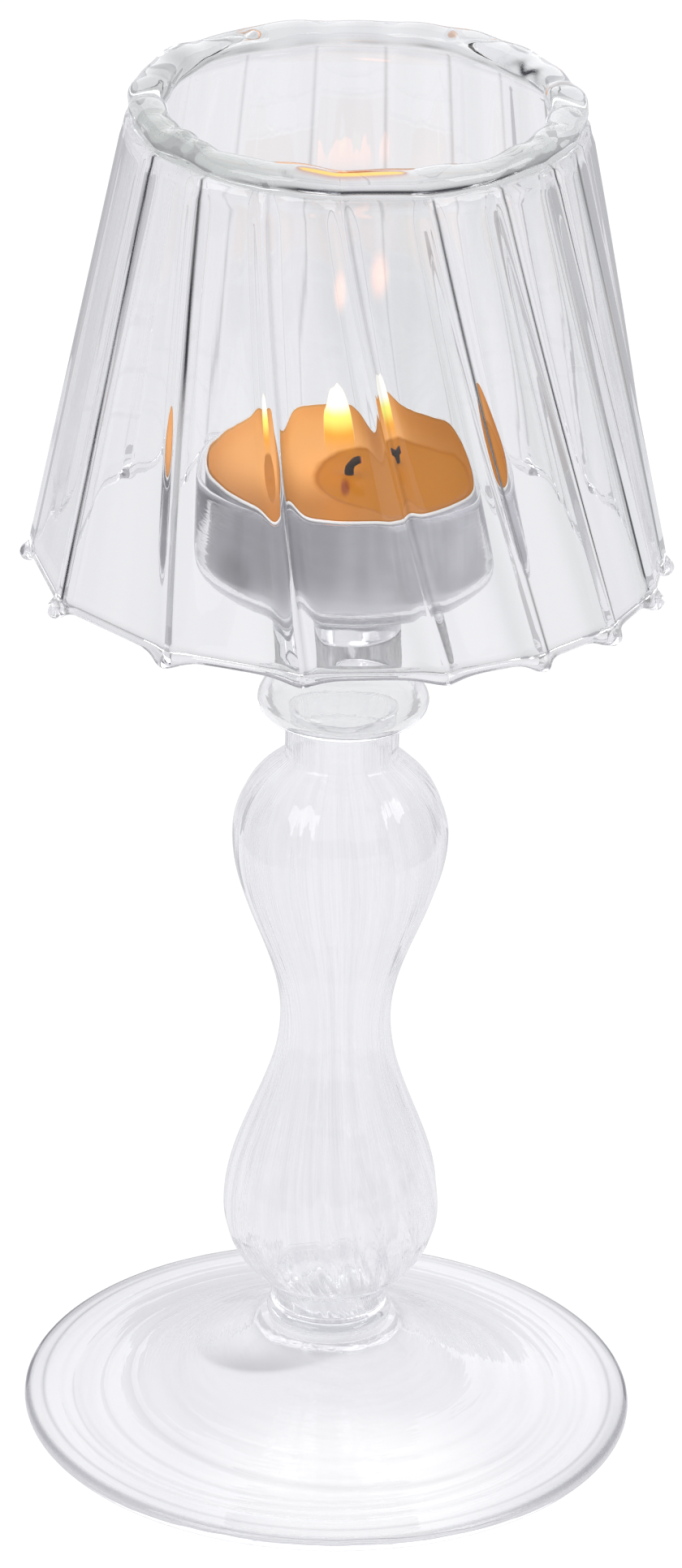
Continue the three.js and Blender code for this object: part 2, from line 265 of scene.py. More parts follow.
def foot_side(outer, low, high, share):
    """A trumpet: the height grows with the square of the share of the way in from the edge to the seat."""
    return np.stack([foot_seat + (outer - foot_seat) * (1 - share), low + (high - low) * share**2], axis=1)


def foot_rings(x, y):
    """Tool rings: ridges along circles whose centres are off the axis, strongest towards the front."""
    rings = (
        (24.5, 1.5, -1.0, 0.08, 0.7),
        (29.0, 1.8, -1.6, 0.16, 0.55),
        (31.2, 0.4, -2.2, 0.14, 0.4),
        (33.6, -0.8, -1.2, 0.15, 0.5),
        (34.8, -0.2, -1.4, 0.1, 0.3),
        (36.4, -0.4, -0.4, 0.13, 0.4),
    )
    front = 0.35 + 0.65 / (1 + np.exp(0.12 * (y + 6)))
    return front * sum(
        depth * bell(np.hypot(x - east, y - north), radius, width)
        for radius, east, north, depth, width in rings
    )


inward = np.linspace(0, 1, 200)
hollow = inward[::-3]
foot_profile = np.concatenate(
    [
        foot_side(foot_radius - foot_edge - foot_rest, 0, foot_height - foot_thickness, hollow),
        bow(foot_radius - foot_edge, foot_edge, foot_edge, -90, 90, 13),
        foot_side(foot_radius - foot_edge, 2 * foot_edge, foot_height, inward[1:]),
        [(wafer_seat, foot_height - 0.01)],
    ]
)
bearing = full_turn(240)
rows = carried_round(foot_profile[:, :1], foot_profile[:, 1:], bearing)
on_top = (np.arange(len(rows)) >= len(hollow) + 8)[:, None]
ridges = np.where(on_top, foot_rings(rows[..., 0], rows[..., 1]), 0)
rows[..., 2] += ridges
reach = np.hypot(rows[..., 0] - 0.8, rows[..., 1] + 1.2)
flow = np.stack([reach / 3.2, 0.7 * np.sin(bearing) + 0 * reach, 0.7 * np.cos(bearing) + 0 * reach], axis=-1)
# Painted shade: grey lines along the edge and the ridges, a broader band at the right front, a crescent and a
# collar by the stem, and a dusk at the rear left.
from_axis = np.hypot(rows[..., 0], rows[..., 1])
side = 0.36 + 0.36 * np.sin(bearing) ** 2
band = bell(bearing, 1.15, 0.4) * bell(from_axis, edge_band, 0.9)
east, north = rows[..., 0] - crescent_east, rows[..., 1] - crescent_north
past = np.hypot(east, north) - crescent_radius
crescent = bell(past, 0, np.where(past > 0, 0.55, 2.6)) * bell(np.arctan2(east, -north), -0.42, 0.8)
collar = bell(from_axis, collar_radius, 0.9)
from_rear_left = (bearing + 2.3 + math.pi) % (2 * math.pi) - math.pi
dusk = bell(from_rear_left, 0, 0.7) * np.clip((from_axis - 18) / 10, 0, 1)
upper = np.clip(0.9 * side, 0.1, 1) * bell(from_axis, inner_line, 0.28)
upper = upper + 0.45 * band + 0.7 * crescent + 0.4 * collar + 0.26 * dusk
line = np.clip(1.5 * side, 0.1, 1) * bell(from_axis, edge_line, 0.5)
line = line + 1.3 * ridges + np.where(on_top, upper, 0)
foot = skin(
    "foot_disc",
    rows,
    start=(0, 0, foot_height - foot_thickness),
    end=(0, 0, foot_height - 0.02),
    flow=flow,
    line=line,
    fused=(from_axis < wafer_seat + 0.01) & on_top,
)
foot.data.materials.append(
    clear_glass(
        "foot_glass",
        (0.99, 0.99, 0.993, 1),
        (0.93, 0.93, 0.937, 1),
        (0.5, 0.5, 0.53, 1),
        relief=0.14,
        edge_from=0.6,
        line=(0.3, 0.3, 0.32, 1),
    )
)
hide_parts("foot")
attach(foot, "holder")

# Wafer between foot and stem. A gather of hot glass that was pressed between the two and fused to both.
# It has sagged a little, so its side bulges unevenly.
SLACK = 0.02
bearing = full_turn(120)
side = np.radians(np.linspace(-90, 90, 25))[:, None]
bulge = wafer_half * np.cos(side) * (1 + waves(bearing, (0.12, 2, 1), (0.06, 5, 0)))
rows = carried_round(wafer_seat + bulge, wafer_low + wafer_half * (1 + 0.98 * np.sin(side)), bearing)
halfway = (0.5, 0.5, 1)
rows = np.concatenate([rows[:1] * halfway, rows, rows[-1:] * halfway])
wafer = skin(
    "foot_wafer",
    rows,
    start=(0, 0, wafer_low + SLACK),
    end=(0, 0, wafer_high - SLACK),
    flow=rows * (0.1, 0.1, 1.6),
    fused=(np.arange(len(rows)) < 2)[:, None] + 0 * bearing,
)
wafer.data.materials.append(
    clear_glass(
        "wafer_glass", (0.98, 0.985, 0.98, 1), (0.93, 0.94, 0.935, 1), (0.7, 0.71, 0.71, 1), relief=0.1
    )
)
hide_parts("foot_merese")
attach(wafer, "holder")

# Stem. A thin baluster blown into a fluted mould and then drawn, so that the flutes run along it as soft
# streaks and turn a little. It is open inside, and fused to the wafer below and to the knop above.
stem_low, stem_high = levels("stem")
stem_wall, stem_base, stem_waist, stem_neck = 1.0, 7.9, 7.5, 7.6
lower_bulb, lower_at, lower_drop, waist_at = 14.65, 14.8, 13.4, 43.8
upper_bulb, upper_at, upper_rise = 14.4, 70.8, 13.6
flute_count, flute_depth = 18, 0.16


def stem_outline(height):
    """Radius of the stem at a height above its lower end: an elliptic drop under the lower bulb, half cosine
    waves from the bulb in to the waist and out again, and an elliptic shoulder up to the neck."""
    below = np.sqrt(np.clip(1 - ((lower_at - height) / lower_drop) ** 2, 0, 1))
    above = np.sqrt(np.clip(1 - ((height - upper_at) / upper_rise) ** 2, 0, 1))
    inwards = (1 - np.cos(math.pi * np.clip((height - lower_at) / (waist_at - lower_at), 0, 1))) / 2
    outwards = (1 - np.cos(math.pi * np.clip((height - waist_at) / (upper_at - waist_at), 0, 1))) / 2
    middle = lower_bulb + (stem_waist - lower_bulb) * inwards + (upper_bulb - stem_waist) * outwards
    radius = np.where(height < lower_at, np.maximum(stem_base, lower_bulb * below), middle)
    return np.where(height > upper_at, np.maximum(stem_neck, upper_bulb * above), radius)


def stem_turn(bearing, height):
    """Bearing as the flutes count it: they turn slowly with height, and swirl where the lower end was drawn in."""
    return bearing + 0.004 * height - 0.5 * np.exp(-height / 7)


def stem_flutes(bearing, height):
    """Depth of the mould's flutes: waves round the stem that turn with height, uneven in depth, and fullest on
    the bulbs."""
    turned = stem_turn(bearing, height)
    uneven = 0.7 + waves(turned, (0.3, 3, 0.5), (0.25, 7, 2))
    full = np.clip((stem_outline(height) - stem_neck) / (upper_bulb - stem_neck), 0.12, 1)
    return flute_depth * full * uneven * waves(turned, (1, flute_count, 0), (0.35, 31, 1.1))


bearing = full_turn(288)
up = np.linspace(0, stem_high - stem_low, 150)[:, None]
outer = carried_round(stem_outline(up) + stem_flutes(bearing, up), stem_low + up, bearing)
down = up[::-2]
inner = carried_round(stem_outline(down) - stem_wall, stem_low + down, bearing)
rows = np.concatenate([outer, inner])
along = np.concatenate([up, down])
turned = stem_turn(bearing, along)
flow = np.stack([7 * np.sin(turned), -7 * np.cos(turned), along / 60 + 0 * turned], axis=-1)
stem = skin("stem_baluster", rows, ring=True, flow=flow)
stem.data.materials.append(
    clear_glass(
        "stem_glass",
        (0.995, 0.995, 0.997, 1),
        (0.94, 0.94, 0.95, 1),
        (0.55, 0.55, 0.575, 1),
        fine=2.2,
        relief=0.18,
        edge_from=0.7,
    )
)
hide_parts("stem")
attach(stem, "holder")

# Knop. A small bell with a thick wall and a floor, blown and flared from the top of the stem and shaded green by
# its thickness. It is fused to the stem's neck below and to the frosted joint above.
knop_low, knop_high = levels("stem_knop")
knop_radius, knop_belly, knop_top, knop_wall = 11.45, 2.8, 7.6, 1.6
knop_floor, knop_corner = 1.4, 1.2


def knop_outline(height):
    """Radius at a height above the neck: a quarter ellipse out to the belly, then half a cosine wave in to the
    top."""
    flare = np.sqrt(np.clip(1 - ((knop_belly - height) / knop_belly) ** 2, 0, 1))
    share = np.clip((height - knop_belly) / (knop_high - knop_low - knop_belly), 0, 1)
    inwards = knop_radius + (knop_top - knop_radius) * (1 - np.cos(math.pi * share)) / 2
    return np.where(height < knop_belly, stem_neck + (knop_radius - stem_neck) * flare, inwards)


bearing = full_turn(144)
rise = (knop_high - knop_low) * (1 - np.cos(np.linspace(0, math.pi, 60))[:, None]) / 2
sway = waves(bearing, (0.07, 2, 0.7), (0.05, 5, 0)) * np.sin(math.pi * rise / rise[-1])
outer = carried_round(knop_outline(rise) + sway, knop_low + SLACK + 0.996 * rise, bearing)
hollow = np.linspace(knop_high - knop_low - SLACK, knop_floor + knop_corner, 30)[:, None]
inner = carried_round(knop_outline(hollow) - knop_wall, knop_low + hollow, bearing)
corner_radius = knop_outline(hollow[-1, 0]) - knop_wall - knop_corner
corner = bow(corner_radius, knop_low + knop_floor + knop_corner, knop_corner, 0, -90, 10)[1:]
rows = np.concatenate([outer, inner, carried_round(corner[:, :1], corner[:, 1:], bearing)])
# Painted shade: a faint dark ring round the knop a little under its widest part.
knop = skin(
    "stem_bell",
    rows,
    start=(0, 0, knop_low + SLACK),
    end=(0, 0, knop_low + knop_floor),
    flow=rows * (0.12, 0.12, 1.3),
    line=0.14 * bell(rows[..., 2], knop_low + knop_belly - 1.2, 0.6),
)
knop.data.materials.append(
    clear_glass(
        "knop_glass",
        (1, 1, 0.998, 1),
        (0.98, 0.988, 0.976, 1),
        (0.2, 0.22, 0.195, 1),
        relief=0.04,
        edge_from=0.7,
        line=(0.3, 0.34, 0.29, 1),
        dim=0.35,
    )
)
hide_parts("stem_knop")
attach(knop, "holder")

# Frosted joint. The stub of glass where the cup was stuck on, left rough by the tool that held it.
# It is fused to the knop below and to the cup's neck above.
joint_low, joint_high = levels("cup_merese")
joint_radius, pit_depth = 7.55, 0.07


def own_place(tree):
    """Where a point lies, in the piece's own coordinates."""
    return add_node(tree, "ShaderNodeTexCoord").outputs["Object"]


def coat(tree, output, values):
    """Ends a material with a Principled shader that takes these values."""
    body = add_node(tree, "ShaderNodeBsdfPrincipled", values)
    tree.links.new(body.outputs[0], output.inputs["Surface"])


bearing = full_turn(160)
rise = np.linspace(joint_low + SLACK, joint_high - SLACK, 26)[:, None]
pits = np.sin(23 * bearing + 3.1 * rise) * np.sin(5.3 * rise + 7 * bearing)
pits = pits + 0.6 * np.sin(41 * bearing - 6.7 * rise)
rows = carried_round(joint_radius + pit_depth * pits, rise, bearing)
inset = (0.6, 0.6, 1)
rows = np.concatenate([rows[:1] * inset, rows, rows[-1:] * inset])
joint = skin("frosted_joint", rows, start=(0, 0, joint_low + SLACK), end=(0, 0, joint_high - SLACK))
made, tree, output = new_material("rough_glass")
place = own_place(tree)
grain = noise(tree, place, 1500.0, 3.0, 0.7)
clouds = noise(tree, place, 650.0, 4.0, 0.65)
coat(
    tree,
    output,
    {
        "Base Color": mixed(tree, spread(tree, clouds, 0.4, 0.62), (1, 1, 1, 1), (0.74, 0.74, 0.76, 1)),
        "Roughness": number(tree, "MULTIPLY_ADD", grain, 0.4, 0.2),
        "IOR": GLASS_BEND,
        "Transmission Weight": 0.75,
        "Normal": bumped(tree, grain, 0.6, 0.3 * MM),
    },
)
joint.data.materials.append(made)
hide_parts("cup_merese")
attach(joint, "holder")

# Cup. A round-bottomed bowl of clear glass on a short solid neck, with a fire-rounded lip.
# It is fused to the frosted joint, and the tea light stands loose in it.
cup_low, cup_high = levels("cup")
cup_neck, cup_neck_height, cup_radius, cup_wall = 7.7, 6.3, 20.7, 1.3
cup_floor, cup_corner, cup_bore_corner, cup_fillet = 2.0, 6.5, 3.8, 1.6
cup_under = cup_low + cup_neck_height
cup_seat = cup_under + cup_floor
bore = cup_radius - cup_wall
cup_profile = np.concatenate(
    [
        [(cup_neck * 0.6, cup_low + SLACK), (cup_neck - 0.3, cup_low + SLACK), (cup_neck, cup_low + 0.4)],
        bow(cup_neck + cup_fillet, cup_under - cup_fillet, -cup_fillet, 0, -90, 8),
        bow(cup_radius - cup_corner, cup_under + cup_corner, cup_corner, -90, 0, 22),
        bow(bore + cup_wall / 2, cup_high - cup_wall / 2, cup_wall / 2, 0, 180, 13),
        bow(bore - cup_bore_corner, cup_seat + cup_bore_corner, cup_bore_corner, 0, -90, 14),
        [(cup_neck * 0.6, cup_seat)],
    ]
)
rows = carried_round(cup_profile[:, :1], cup_profile[:, 1:], full_turn(168))
cup = skin(
    "cup_bowl", rows, start=(0, 0, cup_low + SLACK), end=(0, 0, cup_seat), flow=rows * (0.1, 0.1, 0.9)
)
cup.data.materials.append(
    clear_glass(
        "cup_glass",
        (0.99, 0.99, 0.993, 1),
        (0.96, 0.96, 0.967, 1),
        (0.8, 0.8, 0.815, 1),
        relief=0.03,
        edge_from=0.8,
        dim=0.2,
    )
)
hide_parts("cup")
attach(cup, "holder")

# Shade. A cone of thin clear glass blown in a ribbed mould and opened at both ends: flat panels between ribs that
# lean as they rise, a thick rolled top rim that sits a little askew, and a thin lower rim with a drop of glass
# where each rib ends. Three arms carry it.
shade_low, shade_height, shade_bottom, shade_top, shade_wall = 126.65, 64.0, 41.9, 28.9, 1.2
shade_rim, roll_wide, roll_high, roll_proud, roll_under, rim_tilt = 0.6, 2.5, 1.65, 0.3, 1.3, 1.2
rib_wide, top_flatness, roll_from, roll_to = 1.6, 0.35, -50, 262
rib_bearing = np.array(
    [-89, -62, -32.5, -7, 18.5, 37.5, 55.5, 74, 90, 105, 119, 132, 145, 158, 173, 189.5, 207.5, 226, 248]
)
rib_lean = np.array([0, -1.5, 9.5, 16.5, 23.5, 21, 20, 19.5, 18, 16, 13, 10, 6, 3.5, 1.5, 0, -1, -1, -0.5])
rib_height = np.array([0.3, 0.5, 0.6, 0.84, 0.67, 0.74, 0.55, 0.5] + 8 * [0.5] + [0.4, 0.3, 0.25])
dark_from = np.array([-1, -1, 0.4] + 16 * [-1])
rib_dark = np.array([0.1, 1, 0.9, 0.25, 0.3, 0.85, 0.9, 0.9, 0.6] + 8 * [0.3] + 2 * [0.1])
drop_long = np.array([1.3, 1.5, 2.6, 3.2, 3.2, 1.7, 2.2, 1.7, 1.3, 1.5, 1.8] + 6 * [2] + [1.8, 1.5])
drop_deep = np.array([1.3, 1.5, 1.2, 0.7, 0.65, 1.2, 1.4, 1.4, 1.3, 1.1] + 9 * [1])
ROD, FACE, ROLL, BACK = range(4)


def shade_cone(height):
    """Outer radius of the cone, straight from the lower rim to the top."""
    return shade_bottom + (shade_top - shade_bottom) * (height - shade_low) / shade_height


def shade_section():
    """The closed section of the wall as columns of radius, height, share of the rib's height and share of the
    panels' flatness, and which part each row is on: lower rod, outer face, rolled rim or inner face. The ribs
    fade into the roll."""
    rim_height = shade_low + shade_rim
    rim_radius = shade_cone(rim_height) - shade_wall / 2
    roll_height = shade_low + shade_height - roll_under
    roll_radius = shade_cone(roll_height) - roll_wide + roll_proud
    rod = bow(rim_radius, rim_height, shade_rim, -225, 45, 22)
    up = np.linspace(rim_height + 2 * shade_rim, roll_height - 1.1 * roll_high, 48)
    face = np.stack([shade_cone(up), up], axis=1)
    roll = bow(0, 0, 1, roll_from, roll_to, 34) * (roll_wide, roll_high) + (roll_radius, roll_height)
    down = np.linspace(roll_height - 1.6 * roll_high, rim_height + 2 * shade_rim, 26)
    back = np.stack([shade_cone(down) - shade_wall, down], axis=1)
    fading = 0.6 * np.exp(-(np.arange(len(roll)) / 5))
    proud = [np.full(len(rod), 0.6), np.clip((up[-1] - up) / 2, 0.6, 1), fading, np.zeros(len(back))]
    easing = [np.clip((roll_height - z) / 8, 0.2, 1) ** 0.5 for z in (up, down)]
    flat = [np.ones(len(rod)), easing[0], np.full(len(roll), 0.5), easing[1]]
    section = np.column_stack([np.concatenate(part) for part in ([rod, face, roll, back], proud, flat)])
    return section, np.repeat([ROD, FACE, ROLL, BACK], [len(rod), len(face), len(roll), len(back)])


def shade_grid(section, per_gap):
    """The shade's section carried round its ribs. Between two ribs the wall is a chord that rounds towards the
    top, and each rib stands up as a soft bell on the outer face. Gives the points, the distance past the nearest
    rib, that rib's number and the bearing at the lower rim of each column, and the share of the height of each
    row."""
    count = len(rib_bearing)
    rib = np.repeat(np.arange(count), per_gap)
    after = (rib + 1) % count
    share = np.arange(per_gap) / per_gap
    share = np.tile(share - 0.12 * np.sin(2 * math.pi * share), count)
    nearest = np.where(share < 0.5, rib, after)
    gap_low = (rib_bearing[after] - rib_bearing[rib]) % 360
    gap_lean = rib_lean[after] - rib_lean[rib]
    low_bearing = rib_bearing[rib] + gap_low * share
    lean = rib_lean[rib] + gap_lean * share
    radius, height, proud, flat = (section[:, [i]] for i in range(4))
    rise = (height - shade_low) / shade_height
    gap = np.radians(gap_low - gap_lean * rise)
    past_rib = np.where(share < 0.5, share, share - 1) * gap * shade_cone(height)
    chord = np.cos(gap / 2) / np.cos((share - 0.5) * gap)
    flatness = flat * (1 + (top_flatness - 1) * rise)
    crest = proud * rib_height[nearest] * bell(past_rib, 0, rib_wide)
    turn = np.radians(low_bearing - lean * rise)
    points = carried_round(radius * (1 - flatness * (1 - chord)) + crest, height, turn)
    points[..., 2] -= rim_tilt * np.cos(turn) * np.clip(rise, 0, 1) ** 2
    return points, past_rib, nearest, np.radians(low_bearing), rise


section, part_of = shade_section()
rows, past_rib, nearest, low_bearing, rise = shade_grid(section, 40)
rod, roll = part_of == ROD, part_of == ROLL
on_rod, on_face, on_roll = ((part_of == part)[:, None] for part in (ROD, FACE, ROLL))
# Drops: the rod swells and hangs outwards and down where a rib ends.
drop = bell(past_rib[rod], -0.5, drop_long[nearest]) * drop_deep[nearest]
rod_middle = rows[rod].mean(axis=0)
hang = carried_round(0.55, -0.8, np.arctan2(rod_middle[:, 0], -rod_middle[:, 1])) * 0.6
rows[rod] += (rows[rod] - rod_middle) * (0.55 * drop / shade_rim)[..., None] + hang * drop[..., None]
# Rolled rim: it thins a little where a rib runs into it, and its thickness and height wander round the shade.
roll_middle = rows[roll].mean(axis=0)
dip = bell(past_rib[roll], 0, 2.5)
wander = waves(low_bearing, (0.07, 3, 1), (0.06, 7, 2.5), (0.05, 11, 0))
lumps = np.sin(low_bearing - 0.1) ** 2 * waves(low_bearing, (1, 17, 0), (1, 26, 1))
rows[roll] += (rows[roll] - roll_middle) * (wander + 0.035 * lumps - 0.05 * dip)[..., None]
rows[roll, :, 2] += waves(low_bearing, (0.12, 5, 0.4), (0.1, 9, 2)) + 0.06 * lumps - 0.1 * dip
# Painted shade: dark lines where the glass turns sharply, along one flank of each rib, in the crease and the
# groove under the roll, on the roll itself (dark strokes at the left, a jagged mark at the rear right) and along
# the rod.
flank = bell(past_rib, 0.75, 0.26) * rib_dark[nearest] * (1 + 0.2 * np.sin(7 * rise + 5 * low_bearing))
flank = np.clip(1.3 * flank * np.clip((rise - dark_from[nearest]) / 0.2, 0.15, 1), 0, 1)
around = np.arctan2(roll_middle[:, 0], -roll_middle[:, 1])
roll_turn = np.full((len(rows), 1), roll_from - 10.0)
roll_turn[roll, 0] = np.linspace(roll_from, roll_to, roll.sum())
broken = 0.25 + 0.85 * bell(around, 0, np.where(around < 0, 0.45, 0.95))
broken = np.clip(broken + 0.25 * np.sin(8 * around + 1) * np.sin(13 * around), 0.05, 1)
crease = np.clip(1.5 * bell(roll_turn, -20, 15) * broken, 0, 1)
jagged = bell(roll_turn, 150 + 14 * np.sin(40 * around), 22) * bell(around, 2.07, 0.13)
strokes = bell(roll_turn, 120, 60) * bell(around, -1.75, 0.4) * (0.65 + 0.35 * np.sin(24 * around))
on_top = np.maximum(crease, np.maximum(np.clip(1.3 * jagged, 0, 1), 0.6 * strokes))
height = section[:, [1]]
groove = bell(height, height[on_face].max(), 0.4) * broken
under = height - shade_low
rod_lines = bell(under, 0.14, 0.12) + 0.9 * bell(under, 2.1 * shade_rim, 0.22)
nearer = 0.3 + 0.45 * np.clip(0.5 + 1.2 * np.cos(low_bearing), 0, 1)
line = np.where(on_roll, on_top, 0)
line = np.maximum(line, np.where(on_face, np.maximum(flank, 0.3 * groove), 0))
line = np.maximum(line, np.where(on_face | on_rod, nearer * rod_lines, 0))
# The green of thick glass in the roll, varied round it as painted shade, most at the sides and least at the front
# and back, and a painted grey shade beside the ribs and in a patch on the front right panel.
uneven = 0.62 - 0.28 * np.cos(2 * around) + 0.18 * np.cos(around) - 0.18 * np.sin(around)
uneven = uneven - 0.4 * bell(around, 0.05, 0.32)
panel = bell(past_rib, -2.6, 1.9) * (0.5 + 0.5 * np.sin(low_bearing + 0.2)) * (1 - 0.5 * rise)
shadow = bell(low_bearing, 0.45, 0.13) * bell(rise, 0.67, 0.3)
thick = np.where(on_roll, np.clip(uneven, 0, 1), 0) + np.where(on_face, 0.65 * panel + 0.4 * shadow, 0)
# Painted light: an amber streak of the flame's light, painted into the front of the rolled rim.
lens = np.sqrt(np.clip(1 - ((around + 0.01) / 0.26) ** 2, 0, 1))
caught = np.where(on_roll, bell(roll_turn, 70, 4 + 18 * lens) * np.clip(2 * lens, 0, 1), 0)
flow = np.stack(np.broadcast_arrays(6 * np.sin(low_bearing), -6 * np.cos(low_bearing), 0.6 * rise), axis=-1)
shade = skin("shade_cone", rows, ring=True, flow=flow, line=line, thick=thick, caught=caught)
glass = clear_glass(
    "shade_glass",
    (0.995, 0.995, 0.997, 1),
    (0.965, 0.965, 0.972, 1),
    (0.86, 0.86, 0.875, 1),
    fine=2.0,
    relief=0.04,
    edge_from=0.6,
    line=(0.008, 0.008, 0.01, 1),
    thick=(0.64, 0.67, 0.635, 1),
    caught=((0.7, 0.12, 0.0, 1), (1.0, 0.6, 0.06, 1)),
)


def from_origin(tree, place, location, scale):
    """Length of a place that is scaled and then moved: the distance from the middle of an oval, in half sizes."""
    moved = add_node(tree, "ShaderNodeMapping", {0: place, "Location": location, "Scale": scale}).outputs[0]
    return add_node(tree, "ShaderNodeVectorMath", {0: moved}, operation="LENGTH").outputs["Value"]


# Painted reflection: two faint flames on the front of the glass, each a soft oval.
tree = glass.node_tree
place = own_place(tree)
painted_flame_reflections = 0.0
for centre, half in (((-1.5, -31.9, 175.5), (1.1, 15, 3.4)), ((3.2, -31.3, 177.4), (1.6, 15, 3.8))):
    scale = 1 / np.array(half)
    near = from_origin(tree, place, -scale * centre, scale / MM)
    painted_flame_reflections = number(tree, "MAXIMUM", painted_flame_reflections, spread(tree, near, 1.0, 0.1))
body = tree.nodes["Principled BSDF"]
# Painted light: the painted flame reflections and the amber streak in the rim glow by emission.
glow = mixed(tree, painted_flame_reflections, (0, 0, 0, 1), (0.2, 0.06, 0.015, 1))
glow = mixed(tree, spread(tree, attribute(tree, "caught"), 0.6, 1.0), glow, (0.3, 0.17, 0.0, 1))
tree.links.new(glow, body.inputs["Emission Color"])
body.inputs["Emission Strength"].default_value = 1.0
shade.data.materials.append(glass)
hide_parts("shade")
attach(shade, "holder")

# Arms. Three thin rods of clear glass behind the tea light that carry the shade.
# Each is fused with a small flare to the cup's neck and to the shade.
arm_radius, arm_flare, arm_flare_length, arm_start, arm_end = 1.0, 0.55, 0.04, 8.0, 40.2
for name in ("shade_arm_1", "shade_arm_2", "shade_arm_3"):
    low, high = (np.array(corner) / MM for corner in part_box(name))
    middle = (low + high) / 2
    heading = math.atan2(middle[0], middle[1])
    outwards = np.array([math.sin(heading), math.cos(heading), 0])
    low_end = outwards * arm_start + (0, 0, low[2] + arm_radius)
    high_end = outwards * arm_end + (0, 0, high[2] - arm_radius)
    along = (high_end - low_end) / np.linalg.norm(high_end - low_end)
    across = np.cross(along, outwards)
    across /= np.linalg.norm(across)
    upwards = np.cross(across, along)
    share = np.linspace(0, 1, 40)[:, None]
    flare = np.exp(-share / arm_flare_length) + np.exp((share - 1) / arm_flare_length)
    thick = arm_radius * (0.92 + arm_flare * flare)
    angle = full_turn(28)
    rows = low_end + (high_end - low_end) * share[..., None]
    rows = rows + thick[..., None] * (np.sin(angle)[:, None] * across + np.cos(angle)[:, None] * upwards)
    arm = skin(name.replace("shade_arm", "arm_rod"), rows, start=low_end, end=high_end, flow=rows * 0.4)
    arm.data.materials.append(
        clear_glass(
            name.replace("shade_arm", "arm_glass"),
            (0.99, 0.99, 0.993, 1),
            (0.96, 0.96, 0.967, 1),
            (0.8, 0.8, 0.82, 1),
        )
    )
    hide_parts(name)
    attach(arm, "holder")

# Tea light can. Thin aluminium pressed into a shallow can with a rolled rim, satin and faintly drawn up its side.
# It stands loose in the cup, with its rim a little askew.
can_low, can_high = levels("tealight_can")
can_radius, can_wall, can_corner, can_bead = 18.6, 0.4, 3.0, 0.22
can_bore, can_bore_corner = can_radius - can_wall, can_corner - can_wall
askew, lifted = 0.055, 0.3


def away_from(tree, place, point):
    """Distance of a place from a point that is given in millimetres."""
    ends = {0: place, 1: [part * MM for part in point]}
    return add_node(tree, "ShaderNodeVectorMath", ends, operation="DISTANCE").outputs["Value"]


can_profile = np.concatenate(
    [
        [(can_radius * 0.5, can_low)],
        bow(can_radius - can_corner, can_low + can_corner, can_corner, -90, 0, 12),
        [(can_radius, height) for height in np.linspace(can_low + can_corner + 0.5, can_high - 1.3, 12)],
        bow(can_radius, can_high - can_bead, can_bead, -60, 150, 14),
        bow(can_bore - can_bore_corner, can_low + can_wall + can_bore_corner, can_bore_corner, 0, -90, 10),
        [(can_radius * 0.5, can_low + can_wall)],
    ]
)
bearing = full_turn(220)
rows = carried_round(can_profile[:, :1], can_profile[:, 1:], bearing)
height_share = np.clip((rows[..., 2] - can_low) / (can_high - can_low), 0, 1)
dent = waves(bearing, (0.05, 3, 1.2), (0.04, 8, 0), (0.02, 19, 2))
dent = dent * np.sin(math.pi * height_share) * (rows[..., 2] > can_low + 1)
rows[..., :2] *= (1 - dent / can_radius)[..., None]
# Painted highlight: a mask along the top of the rolled rim.
bright = np.clip((rows[..., 2] - can_high + 2 * can_bead) / 0.1, 0, 1)
rows[..., 2] += height_share * (askew * rows[..., 1] + lifted)
can = skin("tealight_cup", rows, start=(0, 0, can_low), end=(0, 0, can_low + can_wall), bright=bright)
made, tree, output = new_material("satin_aluminium")
place = own_place(tree)
axes = add_node(tree, "ShaderNodeSeparateXYZ", {0: place}).outputs
stretched = add_node(tree, "ShaderNodeMapping", {0: place, "Scale": (350, 350, 25)}).outputs[0]
drawn = noise(tree, stretched, 1.0, 3.0)
streak = spread(tree, drawn, 0.3, 0.7)
smudge = noise(tree, place, 130.0)
tone = mixed(tree, streak, (0.87, 0.86, 0.9, 1), (0.72, 0.71, 0.745, 1))
tone = mixed(tree, spread(tree, smudge, 0.4, 0.75), tone, (0.62, 0.615, 0.645, 1))
# Painted shade: the can turns darker towards its left side.
shaded = number(tree, "MULTIPLY", spread(tree, axes["X"], 16 * MM, -3 * MM), 0.9)
shaded_tone = mixed(tree, streak, (0.45, 0.445, 0.47, 1), (0.38, 0.375, 0.4, 1))
tone = mixed(tree, shaded, tone, shaded_tone)
# Painted light: near the bottom the tone turns to an even light grey over the painted shade.
cloud = noise(tree, place, 60.0, 1.0)
low = number(tree, "MULTIPLY_ADD", number(tree, "SUBTRACT", cloud, 0.5), 8 * MM, axes["Z"])
tone = mixed(tree, spread(tree, low, (can_low + 7) * MM, (can_low + 1) * MM), tone, (0.71, 0.705, 0.73, 1))
# Painted shade: two dark spots on the left front, one under the rim and one low down.
for spot, wide, deep in (((-18, -6, can_high - 2), 7, 0.75), ((-14, -12, can_low + 3.5), 5, 0.45)):
    painted_shade_spot = spread(tree, away_from(tree, place, spot), wide * MM, 0.2 * wide * MM)
    tone = mixed(tree, number(tree, "MULTIPLY", painted_shade_spot, deep), tone, (0.14, 0.14, 0.155, 1))
